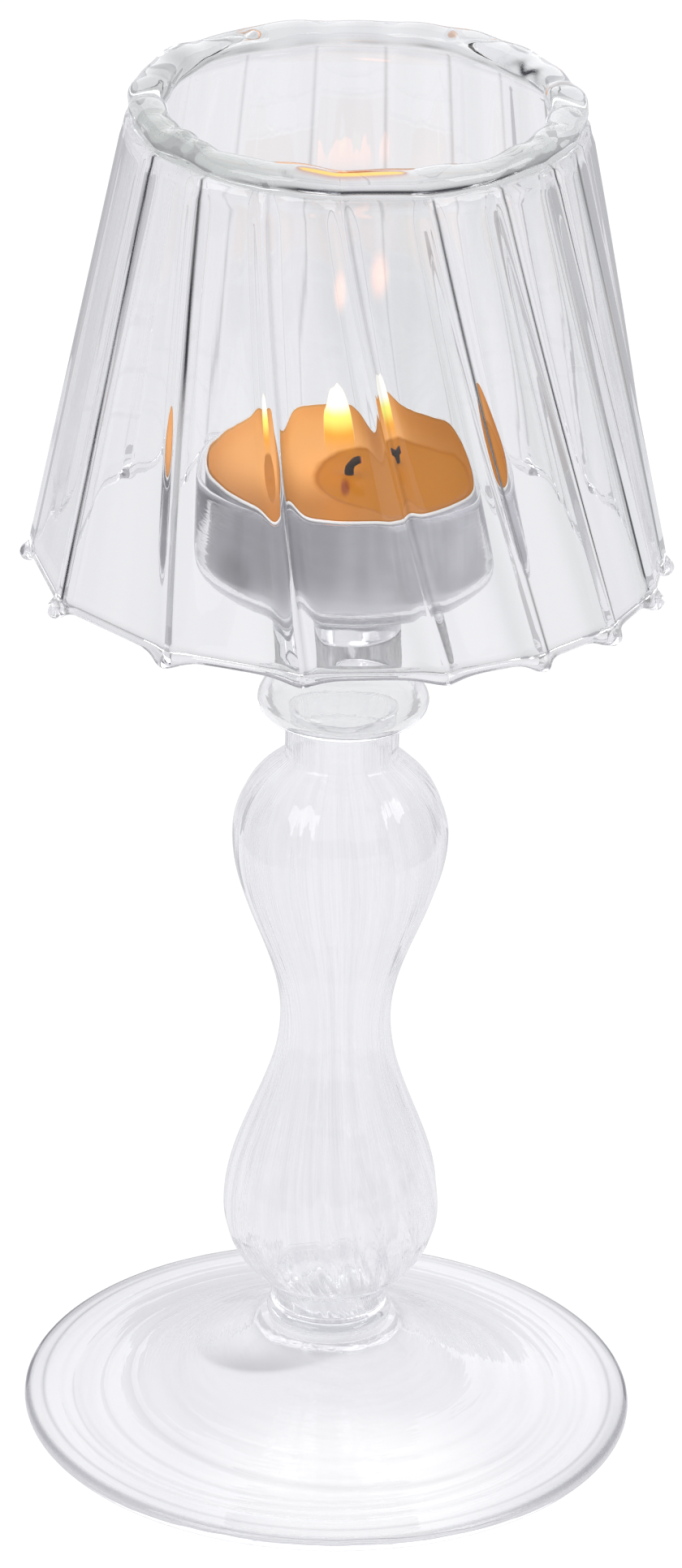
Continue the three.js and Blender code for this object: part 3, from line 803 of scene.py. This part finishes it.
# Painted highlight along the top of the rolled rim.
tone = mixed(tree, attribute(tree, "bright"), tone, (0.98, 0.96, 0.93, 1))
coat(
    tree,
    output,
    {
        "Base Color": tone,
        "Metallic": 1.0,
        "Roughness": number(tree, "MULTIPLY_ADD", smudge, 0.25, 0.25),
        "Normal": bumped(tree, drawn, 0.04, 0.1 * MM),
    },
)
can.data.materials.append(made)
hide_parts("tealight_can")
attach(can, "tealight")

# Wick clip. A tinned steel disc with a short neck that holds the wick upright.
# It lies on the can's floor under the wax, and shows as its own solid of the frame.
made, tree, output = new_material("tinned_steel")
spangle = noise(tree, own_place(tree), 900.0)
coat(
    tree,
    output,
    {
        "Base Color": mixed(tree, spangle, (0.52, 0.52, 0.54, 1), (0.66, 0.66, 0.68, 1)),
        "Metallic": 1.0,
        "Roughness": number(tree, "MULTIPLY_ADD", spangle, 0.2, 0.3),
    },
)
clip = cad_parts["wick_clip"]
clip.data.materials.clear()
clip.data.materials.append(made)

# Wax. Paraffin that fills the can, melted to a clear amber pool round the wick and paler where it is still soft
# at the wall. It has climbed up the can. The flame's light on it is painted: lighter near a point at the left
# rear, and a faint glow of its own colour by emission.
wax_low, wax_high = levels("tealight_wax")
wax_radius, wax_climb, wick_climb, climb_length = can_bore - SLACK, 2.0, 0.45, 0.9
pool_east, pool_north, pool_radius, pool_depth = 6.3, -0.5, 10.3, 0.12
bearing = full_turn(180)
radius = wax_radius * np.linspace(0.02, 1, 70)[::-1, None]
climb = wax_climb * np.exp((radius - wax_radius) / climb_length) + wick_climb * np.exp(-radius / climb_length)
top = carried_round(radius, wax_high + climb, bearing)
away = np.hypot(top[..., 0] - pool_east, top[..., 1] - pool_north)
top[..., 2] -= pool_depth / (1 + np.exp(np.clip((away - pool_radius) / 0.25, -40, 40)))
corner = bow(wax_radius - can_bore_corner, wax_low + can_bore_corner, can_bore_corner, -90, 0, 10)
rows = np.concatenate([carried_round(corner[:, :1], corner[:, 1:], bearing), top])
height_share = np.clip((rows[..., 2] - wax_low) / (wax_high - wax_low), 0, 1)
rows[..., 2] += height_share * (askew * rows[..., 1] + lifted)
wax = skin("wax_pool", rows, start=(0, 0, wax_low), end=(0, 0, wax_high + lifted + 0.4))
made, tree, output = new_material("lit_wax")
place = own_place(tree)
mottle = number(tree, "SUBTRACT", noise(tree, place, 220.0), 0.5)
away = away_from(tree, place, (pool_east, pool_north, wax_high + lifted))
away = number(tree, "MULTIPLY_ADD", mottle, 1.2 * MM, away)
pale = spread(tree, away, (pool_radius - 0.2) * MM, (pool_radius + 1.2) * MM)
# Painted light: the soft wax is lighter near a point at the left rear and darker away from it.
from_light = away_from(tree, place, (-7, 9, wax_high))
soft = mixed(tree, spread(tree, from_light, 6 * MM, 20 * MM), (0.74, 0.345, 0.1, 1), (0.44, 0.165, 0.022, 1))
tone = mixed(tree, pale, (0.43, 0.15, 0.0, 1), soft)
shore = number(tree, "ABSOLUTE", number(tree, "SUBTRACT", away, pool_radius * MM))
shore = number(tree, "MULTIPLY", spread(tree, shore, 0.5 * MM, 0.0), 0.4)
tone = mixed(tree, shore, tone, (0.3, 0.08, 0.001, 1))
sunk_wick = from_origin(tree, place, (0.3, 0.8, 0), (1 / MM, 0.22 / MM, 0))
tone = mixed(tree, spread(tree, sunk_wick, 0.8, 0.2), tone, (0.24, 0.05, 0.003, 1))
# Painted light: the wax glows faintly by emission of its own colour.
coat(
    tree,
    output,
    {
        "Base Color": tone,
        "Roughness": number(tree, "MULTIPLY_ADD", pale, 0.2, 0.12),
        "IOR": 1.43,
        "Specular IOR Level": 0.06,
        "Emission Color": tone,
        "Emission Strength": 0.2,
    },
)
wax.data.materials.append(made)
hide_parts("tealight_wax")
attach(wax, "tealight")

# Wick. A braided cotton cord that stands in its clip and in the wax.
# It is charred above the wax, where it has curled over to the right, and its tip still glows.
wick_radius, wick_curl, wick_stalk, wick_braid = 0.52, 1.65, 0.62, 0.09
wick_foot, wick_out = levels("wick")[0], wax_high
share = np.linspace(0, 1, 70)[:, None]
stalk = np.clip(share / wick_stalk, 0, 1)
sweep = np.radians(105) * np.clip((share - wick_stalk) / (1 - wick_stalk), 0, 1)
wick_x = 0.1 * stalk + wick_curl * (1 - np.cos(sweep))
wick_z = wick_foot + (wick_out + 0.9 - wick_foot) * stalk + wick_curl * np.sin(sweep)
middle = np.concatenate([wick_x, 0 * share, wick_z], axis=1)
heading = np.gradient(middle, axis=0)
heading /= np.linalg.norm(heading, axis=1, keepdims=True)
north = np.array([0, 1.0, 0])
side = np.cross(heading, north)[:, None]
angle = full_turn(36)
braid = 1 + wick_braid * np.sin(5 * angle + 60 * share) * np.sin(5 * angle - 60 * share)
thick = wick_radius * braid * (1 - 0.25 * np.clip((share - 0.9) / 0.1, 0, 1))
rows = middle[:, None] + thick[..., None] * (np.cos(angle)[:, None] * north + np.sin(angle)[:, None] * side)
char = np.clip((rows[..., 2] - wick_out + 0.2) / 0.7, 0, 1)
ember = np.clip((share - 0.93) / 0.07, 0, 1) + 0 * char
wick = skin("wick_cord", rows, start=middle[0], end=middle[-1], char=char, ember=ember)
made, tree, output = new_material("charred_cotton")
fluff = noise(tree, own_place(tree), 2500.0, 3.0)
burnt = mixed(tree, fluff, (0.006, 0.004, 0.003, 1), (0.018, 0.011, 0.008, 1))
coat(
    tree,
    output,
    {
        "Base Color": mixed(tree, attribute(tree, "char"), (0.42, 0.09, 0.02, 1), burnt),
        "Roughness": 0.85,
        "Emission Color": mixed(tree, attribute(tree, "ember"), (0, 0, 0, 1), (0.9, 0.25, 0.06, 1)),
        "Emission Strength": 1.0,
    },
)
wick.data.materials.append(made)
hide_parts("wick")
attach(wick, "tealight")

# Flame. A still tongue of burning wax vapour above the wick, white-hot in the middle and clear at its foot.
# It has no solid. It moves with the tea light, and so does the small lamp inside it.
flame_foot, flame_height, flame_half, flame_tip = wax_high + 2.2, 11.0, 2.1, 2.15
flame_east, flame_lean = -1.0, -0.7
share = np.linspace(0, 1, 60)[1:-1, None]
angle = full_turn(40)
taper = 1 - np.exp(-flame_height * (1 - share) / flame_tip)
outline = flame_half * taper * np.sqrt(1 - np.clip(1 - share / 0.15, 0, 1) ** 2)
rows = carried_round(outline, flame_foot + flame_height * share, angle)
rows[..., 0] += flame_east + flame_lean * share
flame = skin(
    "flame",
    rows,
    start=(flame_east, 0, flame_foot),
    end=(flame_east + flame_lean, 0, flame_foot + flame_height),
    rise=share + 0 * angle,
)
made, tree, output = new_material("burning_vapour")
rise = attribute(tree, "rise")
facing = add_node(tree, "ShaderNodeLayerWeight", {"Blend": 0.5}).outputs["Facing"]
low = mixed(tree, spread(tree, rise, 0.36, 0.62), (0.95, 0.38, 0.03, 1), (0.95, 0.9, 0.17, 1))
core = mixed(tree, spread(tree, rise, 0.6, 0.78), low, (1.0, 0.99, 0.93, 1))
glow = mixed(tree, spread(tree, facing, 0.6, 1.0), core, (1.0, 0.8, 0.4, 1))
solid = number(tree, "MULTIPLY", spread(tree, rise, 0.1, 0.5), spread(tree, facing, 1.0, 0.72))
light = add_node(tree, "ShaderNodeLightPath").outputs
mirrored = number(tree, "SUBTRACT", light["Is Glossy Ray"], light["Is Transmission Ray"])
mirrored = number(tree, "MAXIMUM", mirrored, 0.0)
shown = mixed(tree, mirrored, glow, (1.0, 0.3, 0.05, 1))
strength = number(tree, "MULTIPLY_ADD", mirrored, 3.0, 1.2)
fire = add_node(tree, "ShaderNodeEmission", {"Color": shown, "Strength": strength})
air = add_node(tree, "ShaderNodeBsdfTransparent")
both = add_node(tree, "ShaderNodeMixShader", {0: solid, 1: air.outputs[0], 2: fire.outputs[0]})
tree.links.new(both.outputs[0], output.inputs["Surface"])
flame.data.materials.append(made)
flame.visible_shadow = False
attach(flame, "tealight")
lamp = bpy.data.lights.new("flame_light", "POINT")
lamp.energy, lamp.color, lamp.shadow_soft_size = 0.0008, (1.0, 0.62, 0.28), 0.0025
lit = bpy.data.objects.new("flame_light", lamp)
lit.location = (-1.3 * MM, 0, (flame_foot + 5.5) * MM)
bpy.context.scene.collection.objects.link(lit)
lit.visible_camera = lit.visible_transmission = lit.visible_glossy = False
lit.parent = flame

# Studio. A plain pale floor under soft lamps, white to the camera and pale grey in glass and metal, with a
# painted lighter patch under the front of the foot.
# Grey cards at both sides, low beside the holder and in front of it show only in glass and metal.
floor_top, floor_under = -0.2, -20.0
floor_edge = np.array([(2500, floor_under), (2500, floor_top), (400, floor_top), (100, floor_top)])
floor = skin(
    "floor",
    carried_round(floor_edge[:, :1], floor_edge[:, 1:], full_turn(96)),
    start=(0, 0, floor_under),
    end=(0, 0, floor_top),
)
made, tree, output = new_material("pale_floor")
light = add_node(tree, "ShaderNodeLightPath").outputs
reflected = number(tree, "MAXIMUM", light["Is Glossy Ray"], light["Is Transmission Ray"])
seen = number(tree, "MAXIMUM", reflected, light["Is Camera Ray"])
# Painted light: a lighter patch of floor under the front of the foot, seen only in glass and metal.
painted_light_patch = spread(tree, away_from(tree, own_place(tree), (4, -25, 0)), 26 * MM, 8 * MM)
colour = mixed(tree, painted_light_patch, (0.8, 0.8, 0.835, 1), (0.98, 0.98, 1, 1))
colour = mixed(tree, light["Is Camera Ray"], colour, (1, 1, 1, 1))
matt = add_node(tree, "ShaderNodeBsdfDiffuse", {"Color": (0.8, 0.8, 0.8, 1)})
faint = add_node(tree, "ShaderNodeBsdfDiffuse", {"Color": (0.2, 0.2, 0.2, 1)})
shine = add_node(tree, "ShaderNodeEmission", {"Color": colour, "Strength": 0.82})
white = add_node(tree, "ShaderNodeAddShader", {0: faint.outputs[0], 1: shine.outputs[0]})
both = add_node(tree, "ShaderNodeMixShader", {0: seen, 1: matt.outputs[0], 2: white.outputs[0]})
tree.links.new(both.outputs[0], output.inputs["Surface"])
floor.data.materials.append(made)

world = bpy.data.worlds.new("studio")
bpy.context.scene.world = world
world.use_nodes = True
tree = world.node_tree
tree.nodes.clear()
light = add_node(tree, "ShaderNodeLightPath").outputs
reflected = number(tree, "MAXIMUM", light["Is Glossy Ray"], light["Is Transmission Ray"])
colour = mixed(tree, reflected, (1, 1, 1, 1), (0.84, 0.84, 0.87, 1))
seen = number(tree, "MAXIMUM", reflected, light["Is Camera Ray"])
strength = number(tree, "MULTIPLY_ADD", seen, 0.3, 0.7)
sky = add_node(tree, "ShaderNodeBackground", {"Color": colour, "Strength": strength})
output = tree.nodes.new("ShaderNodeOutputWorld")
tree.links.new(sky.outputs[0], output.inputs["Surface"])

side_card = np.array([(650.0, -500, 20), (650, 500, 20), (650, 500, 420), (650, -500, 420)])
low_card = np.array([(190.0, -400, 1), (900, -400, 1), (900, 800, 1), (190, 800, 1)])
front_card = np.array([(-900.0, -1000, 50), (900, -1000, 50), (900, -1000, 450), (-900, -1000, 450)])
mirror = (-1, 1, 1)
for name, points, grey in (
    ("card_left", side_card * mirror, 0.5),
    ("card_right", side_card, 0.5),
    ("card_low_left", low_card * mirror, 0.58),
    ("card_low_right", low_card, 0.58),
    ("card_front", front_card, 0.2),
):
    mesh = bpy.data.meshes.new(name)
    mesh.from_pydata(points * MM, [], [(0, 1, 2, 3)])
    card = bpy.data.objects.new(name, mesh)
    bpy.context.scene.collection.objects.link(card)
    made, tree, output = new_material(name)
    flat = add_node(tree, "ShaderNodeEmission", {"Color": (grey, grey, 1.04 * grey, 1), "Strength": 1.0})
    tree.links.new(flat.outputs[0], output.inputs["Surface"])
    mesh.materials.append(made)
    card.visible_camera = card.visible_diffuse = card.visible_shadow = False
    card.visible_transmission = name != "card_front"


def soft_box(name, place, size, power):
    """A square soft lamp at a place, turned towards the middle of the holder."""
    made = bpy.data.lights.new(name, "AREA")
    made.shape, made.size, made.energy = "SQUARE", size, power
    holder = bpy.data.objects.new(name, made)
    holder.location = place
    holder.rotation_euler = (Vector((0, 0, 0.1)) - Vector(place)).to_track_quat("-Z", "Y").to_euler()
    holder.visible_transmission = False
    bpy.context.scene.collection.objects.link(holder)


soft_box("lamp_left", (-0.9, -0.7, 0.9), 0.9, 7)
soft_box("lamp_right", (0.9, -0.3, 0.8), 0.6, 4)
soft_box("lamp_back", (0.1, 1.0, 0.9), 1.2, 4)

# Camera. It looks down on the front of the holder from a little under a metre, tilted by 24 degrees and turned
# about its own axis by a little over 1 degree. Its focal length is given in pixels of the photograph's height.
aim, distance, tilt, roll = Vector((0, 0, 0.0941)), 0.888, math.radians(24.34), math.radians(1.387)
focal_pixels, tall_pixels, sensor = 8183.7, 1932, 36
back = Vector((0, -math.cos(tilt), math.sin(tilt)))
level = Vector((1, 0, 0))
rise = back.cross(level)
right = level * math.cos(roll) + rise * math.sin(roll)
top = rise * math.cos(roll) - level * math.sin(roll)
eye = bpy.data.cameras.new("camera")
eye.lens, eye.sensor_width = focal_pixels / tall_pixels * sensor, sensor
eye.clip_start, eye.clip_end = 0.05, 20
camera = bpy.data.objects.new("camera", eye)
turned = Matrix((right, top, back)).transposed().to_4x4()
camera.matrix_world = Matrix.Translation(aim + back * distance) @ turned
bpy.context.scene.collection.objects.link(camera)
bpy.context.scene.camera = camera
bpy.context.scene.view_settings.view_transform = "Standard"
